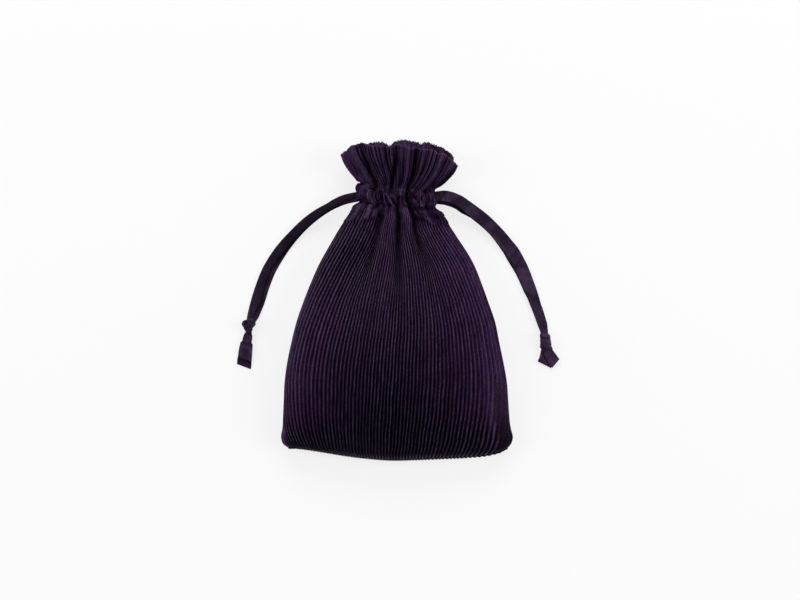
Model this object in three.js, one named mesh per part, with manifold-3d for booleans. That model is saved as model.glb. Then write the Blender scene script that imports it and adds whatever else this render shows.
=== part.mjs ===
// A pleated drawstring pouch that lies on its back, with its mouth towards +Y.
// Millimetres, +Z up. The origin is under the middle of the pouch, on the surface that it lies on.
import * as THREE from "three";
import { mergeVertices } from "three/addons/utils/BufferGeometryUtils.js";
import Module from "manifold-3d";

const wasm = await Module();
wasm.setup();

// Driving dimensions
const PLEATS_PER_FACE = 62;
const LINING_STEPS_PER_FACE = 31;
const FRONT_ROUNDNESS = 2.3;
const BACK_ROUNDNESS = 4;
const BACK_PRESS = 1.05;
const PRESSED_HEIGHT = 3;
const CLEARANCE = 0.3;
const RIBBON_WIDTH = 10;
const RIBBON_THICKNESS = 1.2;
const SATIN = { color: 0x2a1a33, roughness: 0.5, metalness: 0 };

// The casing is the stitched tunnel round the neck that the drawstrings run in.
const CASING = {
  low: 74.5,
  high: 90,
  left: -33.5,
  right: 32.5,
  back: 1.5,
  side: 12.5,
  front: 24.8,
  outerLayer: 3.1,
  tunnel: 2.2,
  innerLayer: 1.4,
};
const CASING_WALL = CASING.outerLayer + CASING.tunnel + CASING.innerLayer;

// Cross-sections from the bottom seam to the rim. y is the station at the side folds, and bowBack and
// bowFront are what the middles of the two faces add to it. left and right are the outline's edges; back, side
// and front are the heights of the underside, of the side folds and of the crown. pleat is the depth of a
// pleat from crest to valley, gather the share of the neck's gathers, and wall the cloth's thickness.
const SECTION_COLUMNS = [
  "name", "y", "left", "right", "back", "side", "front", "bowBack", "bowFront", "pleat", "gather", "wall",
];
const SECTIONS = [
  ["seam edge", -118.5, -87, 86.5, 5.5, 7.4, 9.2, -9.5, -9.5, 0.6, 0, 0],
  ["seam line", -116, -90, 89, 3.5, 9, 15.5, -8.5, -8.5, 1, 0, 0],
  ["corners", -110.5, -92.3, 92.3, 0.4, 11, 23, -6.5, -6.5, 1.2, 0, 2],
  ["bottom roll", -100, -91, 90.3, 0, 13, 31.5, -3, -3, 1.4, 0, 2],
  ["low body", -68, -89.3, 87.9, 0, 15, 42, 0, 0, 1.5, 0, 2],
  ["mid body", -32, -83.3, 81.9, 0, 15.5, 44, 0, 0, 1.5, 0.1, 2],
  ["high body", 6, -71.3, 71, 0, 14.5, 40, 0, 0, 1.5, 0.3, 2],
  ["shoulder", 36, -58.4, 57.2, 0.3, 13, 34, 0, 0, 1.4, 0.65, 2.1],
  ["gathers", 67, -39.5, 37.6, 1.2, 12.5, 27.2, 0, 0, 1.2, 1, 2.2],
  ["low stitch", CASING.low, CASING.left, CASING.right, CASING.back, CASING.side, CASING.front - 0.6,
    0, 0, 1, 0.35, CASING_WALL],
  ["casing", (CASING.low + CASING.high) / 2, CASING.left - 0.9, CASING.right + 0.9, CASING.back - 1,
    CASING.side, CASING.front + 1, 0, 0, 1, 0.35, CASING_WALL + 0.9],
  ["high stitch", CASING.high, CASING.left + 0.6, CASING.right + 0.7, CASING.back, CASING.side,
    CASING.front - 0.8, 0, 0, 1, 0.35, CASING_WALL],
  ["flare", 101, -36.8, 43.6, 1, 14, 30.5, 2, -1, 1.8, 0.9, 2.2],
  ["rim", 115.5, -44.6, 48.8, 0.3, 18, 38.5, 12.5, 0.5, 2, 0.7, 2.2],
].map((row) => Object.fromEntries(row.map((value, column) => [SECTION_COLUMNS[column], value])));
const FIRST_HOLLOW_SECTION = 2;

// The large gathers that the drawstrings pull into each face of the neck. at is the place across the face,
// from 0 at its first side fold to 1 at the other, and width is on the same scale. depth is in millimetres.
const GATHER_COLUMNS = ["at", "width", "depth"];
const gatherTable = (rows) =>
  rows.map((row) => Object.fromEntries(row.map((value, column) => [GATHER_COLUMNS[column], value])));
const FRONT_GATHERS = gatherTable([
  [0.25, 0.055, 3],
  [0.52, 0.06, 4],
  [0.73, 0.055, 3.2],
]);
const BACK_GATHERS = gatherTable([
  [0.28, 0.06, 3],
  [0.5, 0.055, 3.4],
  [0.77, 0.06, 3],
]);

// Drawstring routes from the casing to the knot, as [x, y, lift above the ground]. The two strands of a
// drawstring lie on each other, and part where they enter the casing.
const LEFT_ROUTE = [
  [-30.6, 82.4, 0], [-41.2, 80.6, 10], [-50.8, 77.2, 8.2], [-59.6, 72.8, 6], [-68.4, 67.2, 4],
  [-76.4, 60.4, 2.4], [-84.4, 52, 1.2], [-91.6, 42.8, 0.4], [-98, 32.8, 0], [-103.6, 21.6, 0],
  [-108, 10.4, 0], [-111.6, -0.8, 0], [-114.4, -9.2, 0.4], [-116.2, -14.9, 1.4],
];
const RIGHT_ROUTE = [
  [30.4, 82, 0], [42, 81.6, 10], [49.2, 79, 8.6], [56.4, 74.2, 6.6], [63.2, 68.8, 4.8],
  [71.6, 62, 2.8], [79.6, 54.2, 1.4], [86, 46.6, 0.5], [92, 38.4, 0], [96.4, 30.6, 0],
  [100.8, 22.4, 0], [104.2, 14.4, 0], [107.4, 6.4, 0], [110.4, -1.6, 0], [113.2, -9.6, 0],
  [115.6, -18.4, 0.4], [117.7, -26.5, 1.4],
];
const STRAND_STEPS = 13;
const STRAND_HEIGHT = { lower: 0.8, upper: 2.4 };
const EXIT_SPREAD = 1.7;

// A drawstring's hidden loop lies crumpled in one half of the tunnel, and the slot is where it comes out.
const LOOP_WIDTH = 6.4;
const LOOP_THICKNESS = 1.2;
const LOOP_STATIONS_PER_FACE = 15;
const TUNNEL_END = 0.6;
const SLOT_HEIGHT = 8.6;

// Knots: the wrapped ball or barrel, then the two tails as [y from the knot's middle, half width].
const KNOTS = {
  left: {
    centre: [-118.2, -20.8], radius: [5.2, 5.6], turn: -0.12, height: 8.6,
    upperTail: [[-2, 2], [-5, 2.2], [-9, 3.4], [-14, 5], [-27, 5.3]],
    lowerTail: [[-2, 2], [-5, 2.2], [-10, 3.4], [-16, 5.2], [-33, 5.3]],
  },
  right: {
    centre: [119.4, -33], radius: [4.4, 6.4], turn: 0.15, height: 7.6,
    upperTail: [[-3, 3], [-6, 3.6], [-10, 5.2], [-15, 7.4], [-20.4, 3.6]],
    lowerTail: [[-3, 3], [-7, 3.8], [-12, 4.8], [-18, 5.2]],
  },
};

const smooth = (low, high, value) => THREE.MathUtils.smoothstep(value, low, high);

// Turns a closed geometry into a solid for joining and cutting.
function toSolid(geometry) {
  const bare = geometry.clone();
  bare.deleteAttribute("normal");
  bare.deleteAttribute("uv");
  const merged = mergeVertices(bare, 1e-4);
  return new wasm.Manifold(
    new wasm.Mesh({
      numProp: 3,
      vertProperties: new Float32Array(merged.attributes.position.array),
      triVerts: new Uint32Array(merged.index.array),
    }),
  );
}

function toGeometry(solid) {
  const mesh = solid.getMesh();
  const geometry = new THREE.BufferGeometry();
  geometry.setAttribute("position", new THREE.BufferAttribute(mesh.vertProperties, 3));
  geometry.setIndex(new THREE.BufferAttribute(mesh.triVerts, 1));
  geometry.computeVertexNormals();
  return geometry;
}

function indexed(points, triangles) {
  const geometry = new THREE.BufferGeometry();
  geometry.setAttribute("position", new THREE.Float32BufferAttribute(points.flat(), 3));
  geometry.setIndex(triangles.flat());
  return geometry;
}

// One face of a cross-section as evenly spaced stations: {x, z, share along the face, outward normal}.
// The face is half a superellipse. The underside of a section that rests is squarer, and pressed flat.
function faceStations(section, face, inset, steps) {
  const dense = 400;
  const front = face === "front";
  const resting = section.back === 0;
  const middle = (section.left + section.right) / 2;
  const halfWidth = (section.right - section.left) / 2 - inset;
  const press = resting ? BACK_PRESS : 1;
  const rise = front
    ? section.front - section.side - inset
    : -press * (section.side - section.back - inset);
  const power = 2 / (front || !resting ? FRONT_ROUNDNESS : BACK_ROUNDNESS);
  const across = front ? 1 : -1;
  const lowest = section.back + inset;
  const curve = [];
  for (let i = 0; i <= dense; i++) {
    const angle = (Math.PI * i) / dense;
    const cosine = Math.cos(angle);
    const x = middle - across * halfWidth * Math.sign(cosine) * Math.abs(cosine) ** power;
    const z = Math.max(lowest, section.side + rise * Math.abs(Math.sin(angle)) ** power);
    const before = curve[i - 1];
    const length = before ? before.length + Math.hypot(x - before.x, z - before.z) : 0;
    curve.push({ x, z, length });
  }
  const whole = curve[dense].length;
  const stations = [];
  let k = 1;
  for (let j = 0; j < steps; j++) {
    const target = (whole * j) / steps;
    while (curve[k].length < target) k++;
    const [a, b] = [curve[k - 1], curve[k]];
    const t = (target - a.length) / (b.length - a.length || 1);
    const ahead = curve[Math.min(dense, k + 2)];
    const behind = curve[Math.max(0, k - 3)];
    const run = Math.hypot(ahead.x - behind.x, ahead.z - behind.z);
    const atSideFold = j === 0;
    stations.push({
      x: a.x + t * (b.x - a.x),
      z: a.z + t * (b.z - a.z),
      share: j / steps,
      normalX: atSideFold ? -across : -(ahead.z - behind.z) / run,
      normalZ: atSideFold ? 0 : (ahead.x - behind.x) / run,
    });
  }
  return stations;
}

function gatherAt(gathers, share) {
  return gathers.reduce((sum, fold) => sum - fold.depth * Math.exp(-(((share - fold.at) / fold.width) ** 2)), 0);
}

// A closed ring of points round a section: the front from left to right, then the back from right to left.
function ringPoints(section, { inset, steps, pleated }) {
  return ["front", "back"].flatMap((face) => {
    const gathers = face === "front" ? FRONT_GATHERS : BACK_GATHERS;
    const bow = face === "front" ? section.bowFront : section.bowBack;
    return faceStations(section, face, inset, steps).map((station, j) => {
      const pressed = section.back > 0 ? 1 : smooth(0, PRESSED_HEIGHT, station.z - section.back);
      const pleat = pleated ? section.pleat * pressed * (j % 2 ? -0.5 : 0.5) : 0;
      const out = pleat + section.gather * pressed * gatherAt(gathers, station.share);
      const lowest = section.back + inset;
      return [
        station.x + out * station.normalX,
        section.y + bow * Math.sin(Math.PI * station.share),
        Math.max(lowest, station.z + out * station.normalZ),
      ];
    });
  });
}

// The pouch's cloth wall as one closed surface: the pleated outside, the rim and the hollow inside.
function pouchWall() {
  const points = [];
  const triangles = [];
  const addRing = (ring) => points.push(...ring) - ring.length;
  const outerCount = 4 * PLEATS_PER_FACE;
  const innerCount = 2 * LINING_STEPS_PER_FACE;
  const outerRings = SECTIONS.map((section) =>
    addRing(ringPoints(section, { inset: 0, steps: outerCount / 2, pleated: true })),
  );
  const innerRings = SECTIONS.slice(FIRST_HOLLOW_SECTION).map((section) =>
    addRing(ringPoints(section, { inset: section.wall, steps: innerCount / 2, pleated: false })),
  );
  const skin = (rings, count, outward) => {
    for (let i = 0; i + 1 < rings.length; i++) {
      for (let j = 0; j < count; j++) {
        const next = (j + 1) % count;
        const [a, b, c, d] = [rings[i] + j, rings[i] + next, rings[i + 1] + next, rings[i + 1] + j];
        triangles.push(...(outward ? [[a, b, c], [a, c, d]] : [[a, c, b], [a, d, c]]));
      }
    }
  };
  const closeBottom = (start, count, outward) => {
    for (let j = 0; j < count / 2; j++) {
      const [a, b] = [start + j, start + j + 1];
      const [c, d] = [start + ((count - j - 1) % count), start + ((count - j) % count)];
      const faces = outward ? [[a, d, c], [a, c, b]] : [[a, c, d], [a, b, c]];
      triangles.push(...faces.filter((face) => new Set(face).size === 3));
    }
  };
  skin(outerRings, outerCount, true);
  skin(innerRings, innerCount, false);
  closeBottom(outerRings[0], outerCount, true);
  closeBottom(innerRings[0], innerCount, false);
  const [outerRim, innerRim] = [outerRings.at(-1), innerRings.at(-1)];
  const perStep = outerCount / innerCount;
  for (let k = 0; k < innerCount; k++) {
    const inner = innerRim + k;
    for (let m = 0; m < perStep; m++) {
      const o = k * perStep + m;
      triangles.push([outerRim + o, outerRim + ((o + 1) % outerCount), inner]);
    }
    triangles.push([inner, outerRim + (((k + 1) * perStep) % outerCount), innerRim + ((k + 1) % innerCount)]);
  }
  return indexed(points, triangles);
}

// The tunnel inside the casing: a band between two insets of the neck's section.
function casingTunnel() {
  const steps = LINING_STEPS_PER_FACE;
  const corners = [
    [CASING.outerLayer, CASING.low + TUNNEL_END],
    [CASING.outerLayer, CASING.high - TUNNEL_END],
    [CASING.outerLayer + CASING.tunnel, CASING.high - TUNNEL_END],
    [CASING.outerLayer + CASING.tunnel, CASING.low + TUNNEL_END],
  ];
  const count = 2 * steps;
  const points = corners.flatMap(([inset, y]) =>
    ["front", "back"].flatMap((face) =>
      faceStations(CASING, face, inset, steps).map((station) => [station.x, y, station.z]),
    ),
  );
  const triangles = [];
  corners.forEach((_, i) => {
    for (let j = 0; j < count; j++) {
      const next = (j + 1) % count;
      const above = ((i + 1) % corners.length) * count;
      const [a, b, c, d] = [i * count + j, i * count + next, above + next, above + j];
      triangles.push([a, b, c], [a, c, d]);
    }
  });
  return indexed(points, triangles);
}

function boxBetween(low, high) {
  const size = high.map((value, axis) => value - low[axis]);
  const box = new THREE.BoxGeometry(...size);
  return box.translate(...low.map((value, axis) => value + size[axis] / 2));
}

// The slit in a side fold where a drawstring leaves the tunnel.
function exitSlot(side) {
  const edge = side < 0 ? CASING.left : CASING.right;
  const xs = [edge + side * 4, edge - side * (CASING.outerLayer + CASING.tunnel)].sort((a, b) => a - b);
  return boxBetween(
    [xs[0], CASING.low + TUNNEL_END, CASING.side - SLOT_HEIGHT / 2],
    [xs[1], CASING.high - TUNNEL_END, CASING.side + SLOT_HEIGHT / 2],
  );
}

function pouchGeometry() {
  const cuts = [casingTunnel(), exitSlot(-1), exitSlot(1)];
  const solid = cuts.reduce((left, cut) => left.subtract(toSolid(cut)), toSolid(pouchWall()));
  return toGeometry(solid);
}

// A flat ribbon with rounded edges, swept along a curve. flat says whether its width lies in the curve's plane.
function ribbon(curve, width, thickness, steps, flat) {
  const [half, thin] = [width / 2, thickness / 2];
  const edge = [[1, -half + thickness], [1, half - thickness], [0.6, half - thin / 2], [0, half]];
  const upper = edge.map(([t, w]) => [t * thin, w]);
  const outline = [...upper, ...upper.map(([t, w]) => [-t, -w])];
  const shape = new THREE.Shape(
    outline.map(([t, w]) => (flat ? new THREE.Vector2(t, w) : new THREE.Vector2(w, t))),
  );
  return new THREE.ExtrudeGeometry(shape, { steps, extrudePath: curve, curveSegments: 1 });
}

function strand(route, layer) {
  const points = route.map(([x, y, lift]) => new THREE.Vector3(x, y, STRAND_HEIGHT[layer] + lift));
  points[0].z = CASING.side + (layer === "upper" ? EXIT_SPREAD : -EXIT_SPREAD);
  const fromKnot = new THREE.CatmullRomCurve3(points.reverse());
  return ribbon(fromKnot, RIBBON_WIDTH, RIBBON_THICKNESS, STRAND_STEPS, true);
}

// The hidden stretch: in by the slot above, round the far side of the tunnel and out below.
function hiddenLoop(side) {
  const inset = CASING.outerLayer + 0.42 * CASING.tunnel;
  const half = TUNNEL_END + CLEARANCE + LOOP_WIDTH / 2;
  const y = side < 0 ? CASING.low + half : CASING.high - half;
  const x = (side < 0 ? CASING.left : CASING.right) - side * 1.7;
  const faces = side < 0 ? ["front", "back"] : ["back", "front"];
  const round = faces.flatMap((face) => faceStations(CASING, face, inset, LOOP_STATIONS_PER_FACE)).slice(1);
  const end = (spread) => new THREE.Vector3(x, y, CASING.side + spread);
  const way = [
    end(-side * EXIT_SPREAD),
    ...round.map((station) => new THREE.Vector3(station.x, y, station.z)),
    end(side * EXIT_SPREAD),
  ];
  return ribbon(new THREE.CatmullRomCurve3(way), LOOP_WIDTH, LOOP_THICKNESS, 2 * LOOP_STATIONS_PER_FACE, false);
}

function drawstring(side, route) {
  const parts = [strand(route, "upper"), strand(route, "lower")].map(toSolid);
  return toGeometry(parts.reduce((whole, part) => whole.add(part), toSolid(hiddenLoop(side))));
}

function knot({ centre, radius, turn, height, upperTail, lowerTail }) {
  const ball = new THREE.SphereGeometry(1, 14, 9).rotateX(Math.PI / 2);
  ball.scale(radius[0], radius[1], height / 2 - 0.1).translate(0, 0, height / 2);
  const tail = (rows, bottom) => {
    const right = rows.map(([y, half]) => new THREE.Vector2(half, y));
    const left = rows.map(([y, half]) => new THREE.Vector2(-half, y)).reverse();
    const plate = new THREE.ExtrudeGeometry(new THREE.Shape([...right, ...left]), {
      depth: RIBBON_THICKNESS,
      bevelEnabled: false,
    });
    return plate.translate(0, 0, bottom);
  };
  const tails = [
    tail(lowerTail, STRAND_HEIGHT.lower - RIBBON_THICKNESS / 2),
    tail(upperTail, STRAND_HEIGHT.upper - RIBBON_THICKNESS / 2),
  ];
  const whole = tails.reduce((solid, part) => solid.add(toSolid(part)), toSolid(ball));
  return toGeometry(whole).rotateZ(turn).translate(centre[0], centre[1], 0);
}

const group = new THREE.Group();
function add(name, geometry) {
  const mesh = new THREE.Mesh(geometry, new THREE.MeshStandardMaterial(SATIN));
  mesh.name = name;
  group.add(mesh);
}

add("pleated_body", pouchGeometry());
add("drawstring_left", drawstring(-1, LEFT_ROUTE));
add("drawstring_right", drawstring(1, RIGHT_ROUTE));
add("knot_left", knot(KNOTS.left));
add("knot_right", knot(KNOTS.right));

export default group;
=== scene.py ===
# %% [markdown]
# # A pleated drawstring pouch
# The pouch lies on its back on a pale surface and is seen from straight above. It is one cloth of dark satin,
# pressed into fine accordion pleats, with a casing round its neck and a ruffle above it. Two satin ribbons run
# through the casing, and each is knotted. The solids of the frame give every place and size: the pieces made here
# stand where those solids are, with the cloth's real folds.

# %% The frame
import math

import bpy
import numpy as np
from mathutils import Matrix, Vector


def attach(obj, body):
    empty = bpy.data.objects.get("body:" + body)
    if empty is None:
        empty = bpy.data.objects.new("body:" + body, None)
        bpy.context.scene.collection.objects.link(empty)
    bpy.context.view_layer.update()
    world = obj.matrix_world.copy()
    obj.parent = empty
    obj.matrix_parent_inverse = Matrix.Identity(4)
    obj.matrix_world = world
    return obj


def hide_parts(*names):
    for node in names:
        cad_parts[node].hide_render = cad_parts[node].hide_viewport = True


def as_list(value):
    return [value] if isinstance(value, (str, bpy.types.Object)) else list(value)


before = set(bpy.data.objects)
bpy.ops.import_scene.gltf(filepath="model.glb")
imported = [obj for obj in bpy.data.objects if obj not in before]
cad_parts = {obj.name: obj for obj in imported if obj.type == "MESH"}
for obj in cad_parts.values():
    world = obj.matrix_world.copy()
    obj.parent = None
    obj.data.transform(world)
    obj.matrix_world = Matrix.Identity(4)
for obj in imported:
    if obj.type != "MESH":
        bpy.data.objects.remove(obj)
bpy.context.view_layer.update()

BODY = "root"
MM = 0.001
print("frame nodes:", sorted(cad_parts))

# %% [markdown]
# ## The camera
# A flat-lay photograph is taken from straight above with a long lens, so that the bag's raised middle isn't
# larger than its edges. The frame is 640 mm wide at the height of the side folds.

# %% Camera
FRAME_WIDTH = 0.640
CAMERA_HEIGHT = 2.6
FOLD_HEIGHT = 0.012
CAMERA_SHIFT = 0.0028
SENSOR = 36
camera_data = bpy.data.cameras.new("flat_lay")
camera_data.sensor_width = SENSOR
camera_data.lens = SENSOR * (CAMERA_HEIGHT - FOLD_HEIGHT) / FRAME_WIDTH
camera = bpy.data.objects.new("flat_lay", camera_data)
camera.location = (CAMERA_SHIFT, 0.0, CAMERA_HEIGHT)
bpy.context.scene.collection.objects.link(camera)
bpy.context.scene.camera = camera
print("lens, mm:", round(camera_data.lens, 1))

# %% [markdown]
# ## From arrays to meshes
# Every piece is a grid of points worked out as whole arrays, so one helper turns a grid into a mesh. It can join
# the grid's last column to its first, and its last row too, and it stores values per point, such as how near a
# point is to a pleat's crest, for the materials to read.

# %% Grid helpers
LATTICE = 64


def grid_faces(rows, columns, round_columns, round_rows):
    """Four-cornered faces of a grid, with point (r, c) at index r * columns + c."""
    index = np.arange(rows * columns).reshape(rows, columns)
    if round_columns:
        index = np.hstack([index, index[:, :1]])
    if round_rows:
        index = np.vstack([index, index[:1]])
    a, b, c, d = index[:-1, :-1], index[:-1, 1:], index[1:, 1:], index[1:, :-1]
    return np.stack([a, b, c, d], axis=-1).reshape(-1, 4)


def grid_piece(name, points, node, values, tube=False, ring=False, flip=False):
    """A piece from a grid of points in millimetres, shaped (rows, columns, 3), that stands for a CAD node.

    A tube joins its columns round and is capped at both ends, and a ring joins its rows round too."""
    rows, columns = points.shape[:2]
    faces = grid_faces(rows, columns, tube or ring, ring)
    polygons = (faces[:, ::-1] if flip else faces).tolist()
    if tube:
        first, last = list(range(columns)), list(range((rows - 1) * columns, rows * columns))
        polygons += [first, last[::-1]] if flip else [first[::-1], last]
    mesh = bpy.data.meshes.new(name)
    mesh.from_pydata((points.reshape(-1, 3) * MM).tolist(), [], polygons)
    for key, array in values.items():
        attribute = mesh.attributes.new(key, "FLOAT", "POINT")
        attribute.data.foreach_set("value", np.broadcast_to(array, (rows, columns)).astype(np.float32).ravel())
    mesh.polygons.foreach_set("use_smooth", np.ones(len(mesh.polygons), bool))
    mesh.update()
    piece = bpy.data.objects.new(name, mesh)
    bpy.context.scene.collection.objects.link(piece)
    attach(piece, BODY)
    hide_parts(node)
    print(name, "faces:", len(mesh.polygons))
    return piece


def read_table(columns, rows):
    """A table of numbers as a dictionary of column arrays."""
    return dict(zip(columns.split(), np.array(rows, float).T))


def look_up(table, wanted, *columns):
    """Columns of a table at some values of its first column, on straight lines between its rows."""
    known = next(iter(table.values()))
    found = [np.interp(wanted, known, table[key]) for key in columns]
    return found if len(found) > 1 else found[0]


def smooth_through(known, values, wanted):
    """A cubic Hermite curve through known stations, with the slopes of the chords on each side averaged."""
    known, values, wanted = np.asarray(known, float), np.asarray(values, float), np.asarray(wanted, float)
    slope = np.gradient(values, known, axis=0)
    k = np.clip(np.searchsorted(known, wanted) - 1, 0, len(known) - 2)
    gap = known[k + 1] - known[k]
    t = np.clip((wanted - known[k]) / gap, 0, 1)
    shape = wanted.shape + (1,) * (values.ndim - 1)
    t, gap = t.reshape(shape), gap.reshape(shape)
    near = (1 + 2 * t) * (1 - t) ** 2 * values[k] + t * (1 - t) ** 2 * gap * slope[k]
    far = t * t * (3 - 2 * t) * values[k + 1] - t * t * (1 - t) * gap * slope[k + 1]
    return near + far


def ramp(low, high, value):
    """A smooth step from 0 at low to 1 at high."""
    t = np.clip((value - low) / (high - low), 0, 1)
    return t * t * (3 - 2 * t)


def bell(value, middle, width):
    """A bell curve: 1 at the middle, falling to 0.37 at one width from it."""
    return np.exp(-(((value - middle) / width) ** 2))


def crumple(a, b, seed):
    """Smooth noise: a random value at each whole number of a and b, blended between them."""
    lattice = np.random.default_rng(seed).normal(size=(LATTICE, LATTICE))
    i, j = np.floor(a).astype(int), np.floor(b).astype(int)
    f, g = ramp(0, 1, a - i), ramp(0, 1, b - j)
    low, high = (
        lattice[i % LATTICE, row % LATTICE] * (1 - f) + lattice[(i + 1) % LATTICE, row % LATTICE] * f
        for row in (j, j + 1)
    )
    return low * (1 - g) + high * g


def unit(vectors):
    """Vectors of length one."""
    return vectors / np.linalg.norm(vectors, axis=-1, keepdims=True)


# %% [markdown]
# ## The body's sections
# The bag's form is a row of cross-sections from the bottom seam to the rim. Each is two half superellipses, a
# domed front and a back that is pressed flat on the surface, and it is read smoothly between the table's stations.
# A section isn't straight across: the seam sags in the middle, the casing hangs lower to the right, and the rim
# waves. Three tables say how far, and each section says how much of each it takes.

# %% Sections
SECTIONS = read_table("y left right back side front square seam casing rim", [
    (-118.5, -86.6, 89.2, 5.6, 7.4, 9, 2.3, 1, 0, 0),
    (-116, -89.8, 91, 3.2, 9, 15.5, 2.3, 0.9, 0, 0),
    (-110.5, -92, 92.8, 0.5, 11, 23, 2.6, 0.68, 0, 0),
    (-103, -91, 91.2, 0, 12.6, 29.5, 3.4, 0.4, 0, 0),
    (-94, -90.1, 89.8, 0, 13.8, 34.8, 4, 0.17, 0, 0),
    (-82, -89.4, 88.8, 0, 14.6, 39.2, 4, 0.04, 0, 0),
    (-66, -88.6, 87.6, 0, 15, 42.2, 4, 0, 0, 0),
    (-50, -86.4, 84.8, 0, 15.3, 43.8, 4, 0, 0, 0),
    (-34, -83, 81.4, 0, 15.5, 44, 4, 0, 0, 0),
    (-18, -79, 78.2, 0, 15.2, 42.8, 4, 0, 0, 0),
    (-2, -73.5, 72.7, 0, 14.8, 40.8, 4, 0, 0, 0),
    (14, -67.2, 67, 0, 14.2, 38.4, 3.8, 0, 0.05, 0),
    (30, -60, 60.5, 0.2, 13.4, 35.2, 3, 0, 0.15, 0),
    (46, -50.6, 51.2, 0.4, 12.9, 32, 2.5, 0, 0.4, 0),
    (58, -42.9, 43.6, 0.8, 12.6, 29.4, 2.3, 0, 0.7, 0),
    (67, -36.3, 38.6, 1.2, 12.5, 27.4, 2.3, 0, 0.9, 0),
    (72, -33.6, 35, 1.4, 12.5, 25.6, 2.3, 0, 1, 0),
    (74.5, -29.4, 31.4, 1.5, 12.5, 25, 2.3, 0, 1, 0),
    (77, -30.8, 30.6, 1.2, 12.5, 25.2, 2.3, 0, 1, 0),
    (82.2, -31.8, 30.4, 0.8, 12.5, 25.4, 2.3, 0, 1, 0),
    (87.5, -30.8, 30.4, 1.2, 12.5, 25, 2.3, 0, 1, 0),
    (90, -28.6, 30.6, 1.5, 12.5, 24.4, 2.3, 0, 1, 0),
    (92.5, -30.6, 34.4, 1.5, 12.8, 25.4, 2.3, 0, 0.85, 0.05),
    (101, -36.6, 42, 1, 14, 30, 2.3, 0, 0.4, 0.35),
    (108, -41.2, 45.6, 0.6, 16, 34.4, 2.3, 0, 0.1, 0.65),
    (115.5, -44.6, 48.2, 0.4, 18, 38, 2.3, 0, 0, 1),
])
DROPS = {
    "seam": read_table("at front back", [
        (0, 0, 0), (0.03, 0, 0), (0.14, -2.4, -2.4), (0.25, -5.6, -5.6), (0.36, -8, -8), (0.47, -9.4, -9.4),
        (0.58, -9, -9), (0.69, -8.2, -8.2), (0.81, -7.2, -7.2), (0.92, -5.2, -5.2), (0.97, -2.8, -2.8), (1, 0, 0),
    ]),
    "casing": read_table("at front back", [
        (0, 3.8, 3.8), (0.16, 2.6, 3), (0.3, 1, 2.2), (0.42, 0, 1.6), (0.5, 0, 1.2), (0.67, -1.2, 0.2),
        (0.82, -2.6, -0.6), (1, -1.4, -1.4),
    ]),
    "rim": read_table("at front back", [
        (0, -0.3, -0.3), (0.05, 3, 3.4), (0.085, 5.8, 6.6), (0.16, 7, 8.8), (0.21, 7.4, 9.4), (0.25, 6.2, 10),
        (0.32, 6.2, 11), (0.38, 5.8, 10.2), (0.42, 5.2, 8.2), (0.46, 5.2, 10.8), (0.51, 6.2, 12.4), (0.56, 5.6, 12.6),
        (0.61, 3.4, 11.6), (0.67, 2.6, 10.5), (0.69, 2.8, 9.5), (0.73, 3.4, 10.8), (0.8, 2.8, 9), (0.84, 0.6, 7.7),
        (0.88, 0.4, 5.8), (0.94, -3.4, 2.4), (1, -8.6, -8.6),
    ]),
}
FRONT_SQUARE = 2.3
BACK_PRESS = 1.04
ARC_STEPS = 900


def sections_at(stations):
    """The sections' columns at some stations, each shaped (stations, 1)."""
    return {key: smooth_through(SECTIONS["y"], column, stations)[:, None] for key, column in SECTIONS.items()}


def base_surface(face, share, stations):
    """The unfolded cloth of one face, shaped like share, and how far across the bag each point is, from 0 to 1.

    A face is x = middle + half * cos(turn)^(2/n) and z = side + rise * sin(turn)^(2/n), cut off at the underside.
    share runs along its arc length, from the left fold to the right one."""
    section = sections_at(stations)
    front = face == "front"
    power = 2 / (np.full_like(section["square"], FRONT_SQUARE) if front else section["square"])
    turn = np.linspace(0, np.pi, ARC_STEPS)[None]
    cosine, sine = np.cos(turn), np.clip(np.sin(turn), 0, None)
    middle, half = (section["left"] + section["right"]) / 2, (section["right"] - section["left"]) / 2
    underside = np.maximum(section["back"], 0)
    x = middle - half * np.sign(cosine) * np.abs(cosine) ** power
    rise = section["front"] - section["side"] if front else BACK_PRESS * (underside - section["side"])
    z = np.maximum(section["side"] + rise * sine ** power, underside)
    step = np.hypot(np.diff(x, axis=1), np.diff(z, axis=1))
    length = np.hstack([np.zeros((len(stations), 1)), np.cumsum(step, axis=1)])
    length /= length[:, -1:]
    rows = 2.0 * np.arange(len(stations))[:, None]
    wanted, known = (rows + share).ravel(), (rows + length).ravel()
    x = np.interp(wanted, known, x.ravel()).reshape(share.shape)
    z = np.interp(wanted, known, z.ravel()).reshape(share.shape)
    across = np.clip((x - section["left"]) / (section["right"] - section["left"]), 0, 1)
    drop = sum(section[key] * smooth_through(table["at"], table[face], across) for key, table in DROPS.items())
    return np.stack([x, stations[:, None] + drop, z], axis=-1), across


def outward(points, face):
    """Unit normals of a grid, from the cross product of its two differences."""
    normal = unit(np.cross(np.gradient(points, axis=1), np.gradient(points, axis=0)) + 1e-12)
    return normal if face == "front" else -normal


# %% [markdown]
# ## Pleats, folds and gathers
# The satin is pressed into accordion pleats that run from the seam to the rim. Each pleat is a ridge between two
# sharp valleys, and pleats differ a little in width and height, as pressed cloth does. In the casing and the
# ruffle, where the cloth is doubled, they close up into folds of one to four and bunches of three to eight. Near
# the neck the gathers swallow some pleats. Pleats fan out from the neck, so towards the bottom they lean and run
# off round the sides. A narrow margin by each side fold has none, and it widens to a smooth lobe at the corners.

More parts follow.
